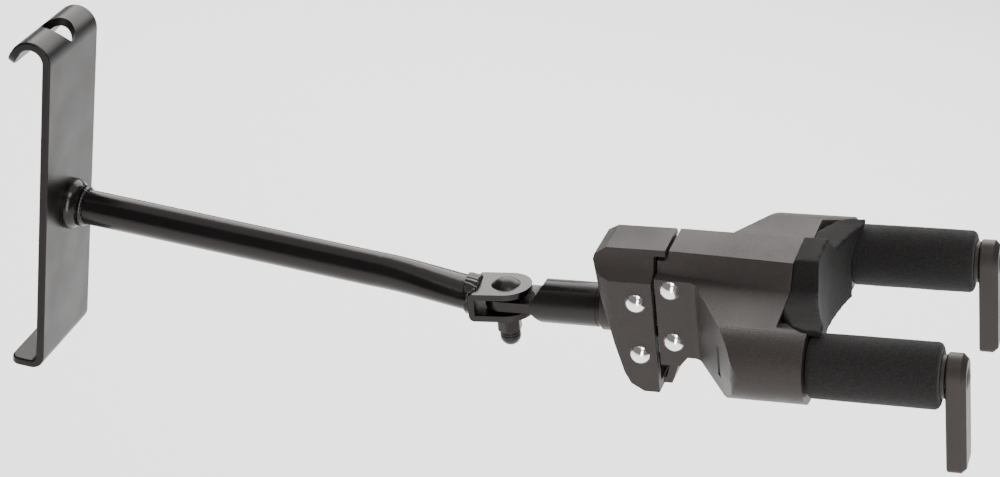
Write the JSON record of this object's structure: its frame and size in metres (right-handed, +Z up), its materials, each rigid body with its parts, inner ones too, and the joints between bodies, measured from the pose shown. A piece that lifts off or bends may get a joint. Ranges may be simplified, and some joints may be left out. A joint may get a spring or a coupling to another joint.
{
  "type": "wall guitar hanger",
  "caption": "Wall hanger for a guitar: hooked plate, long arm, swivelling padded yoke and gates that close when it is loaded.",
  "frame": {"origin": "centre of the wall plate's back face, on the arm's axis", "axes": "+Y into the wall, along the arm's axis; +Z up; +X to the right as seen from the front of the wall, facing it"},
  "size_m": [0.1025, 0.3495, 0.1277],
  "materials": {
    "powder_coat": "satin powder coat",
    "black_paint": "semi-gloss paint",
    "black_steel": "satin black plating",
    "black_cap_plastic": "semi-gloss",
    "knuckle_paint": "satin paint",
    "bearing_plastic": "smooth",
    "plated_steel": "zinc plated",
    "spring_steel": "drawn wire",
    "bright_rivet": "polished nickel",
    "housing_plastic": "fine grain",
    "gate_plastic": "smooth satin",
    "soft_pad": "soft satin",
    "black_foam": "matt closed-cell foam"
  },
  "bodies": {
    "bracket": {"wall_plate": "powder_coat", "arm_collar": "black_paint", "collar_weld": "black_paint", "arm_tube": "black_paint", "clevis_weld": "black_paint", "clevis_bracket": "black_paint", "clevis_pin": "black_steel", "tongue_washers": "black_steel", "hinge_washer": "black_steel", "spring_washer": "black_steel", "hinge_nut": "black_steel", "nut_cap": "black_cap_plastic"},
    "knuckle": {"swivel_knuckle": "knuckle_paint", "thrust_washer": "black_cap_plastic", "spindle_washer": "plated_steel", "spindle_nut": "plated_steel"},
    "head": {"rear_housing": "housing_plastic", "spindle_bushing": "bearing_plastic", "rear_pivot_pins": "bright_rivet", "drive_plate": "plated_steel", "drive_plate_screws": "plated_steel", "drive_fork_left": "plated_steel", "drive_fork_right": "plated_steel", "return_spring": "spring_steel"},
    "upper_link": {"upper_link": "plated_steel"},
    "lower_link": {"lower_link": "plated_steel"},
    "yoke": {"yoke_upper_shell": "housing_plastic", "yoke_lower_shell": "housing_plastic", "shell_screws": "plated_steel", "yoke_pad": "soft_pad", "front_pivot_pins": "bright_rivet", "arm_core_left": "black_steel", "arm_core_right": "black_steel", "rod_bushings_left": "bearing_plastic", "rod_bushings_right": "bearing_plastic", "foam_sleeve_left": "black_foam", "foam_sleeve_right": "black_foam", "gate_spacer_left": "gate_plastic", "gate_spacer_right": "gate_plastic"},
    "gate_left": {"gate_rod_left": "plated_steel", "gate_left": "gate_plastic", "gate_washer_left": "plated_steel", "gate_screw_left": "plated_steel", "gate_cap_left": "gate_plastic"},
    "gate_right": {"gate_rod_right": "plated_steel", "gate_right": "gate_plastic", "gate_washer_right": "plated_steel", "gate_screw_right": "plated_steel", "gate_cap_right": "gate_plastic"}
  },
  "joints": [
    {"name": "arm_swing", "type": "hinge", "parent": "bracket", "child": "knuckle", "pos_m": [0, -0.1666, 0], "axis": [0, 0.2079, 0.9781], "range_deg": [-78.6, 91.4]},
    {"name": "yoke_swivel", "type": "hinge", "parent": "knuckle", "child": "head", "pos_m": [0, -0.1666, 0], "axis": [0.1115, 0.9721, -0.2066], "range_deg": [-40.9, 49.1]},
    {"name": "link_drop", "type": "hinge", "parent": "head", "child": "upper_link", "pos_m": [-0.00645, -0.21451, 0.02038], "axis": [0.9912, -0.0939, 0.0931], "range_deg": [0, 52], "stiffness_Nm_per_rad": 0.11, "springref_deg": -77.92},
    {"name": "lower_link_drop", "type": "hinge", "parent": "head", "child": "lower_link", "pos_m": [-0.00503, -0.21881, 0.0009], "axis": [0.9912, -0.0939, 0.0931], "range_deg": [0, 52], "deforming": ["return_spring"]},
    {"name": "yoke_level", "type": "hinge", "parent": "upper_link", "child": "yoke", "pos_m": [-0.00825, -0.22519, 0.02877], "axis": [0.9912, -0.0939, 0.0931], "range_deg": [-52, 0]},
    {"name": "gate_left_turn", "type": "hinge", "parent": "yoke", "child": "gate_left", "pos_m": [-0.05425, -0.31576, 0.03515], "axis": [-0.1115, -0.9721, 0.2066], "range_deg": [0, 89.92]},
    {"name": "gate_right_turn", "type": "hinge", "parent": "yoke", "child": "gate_right", "pos_m": [0.01811, -0.32261, 0.04195], "axis": [0.1115, 0.9721, -0.2066], "range_deg": [0, 89.92]}
  ],
  "couplings": [
    {"joint": "lower_link_drop", "follows": "link_drop", "ratio": 1},
    {"joint": "yoke_level", "follows": "link_drop", "ratio": -1},
    {"joint": "gate_left_turn", "follows": "link_drop", "ratio": 1.729},
    {"joint": "gate_right_turn", "follows": "link_drop", "ratio": 1.729}
  ]
}
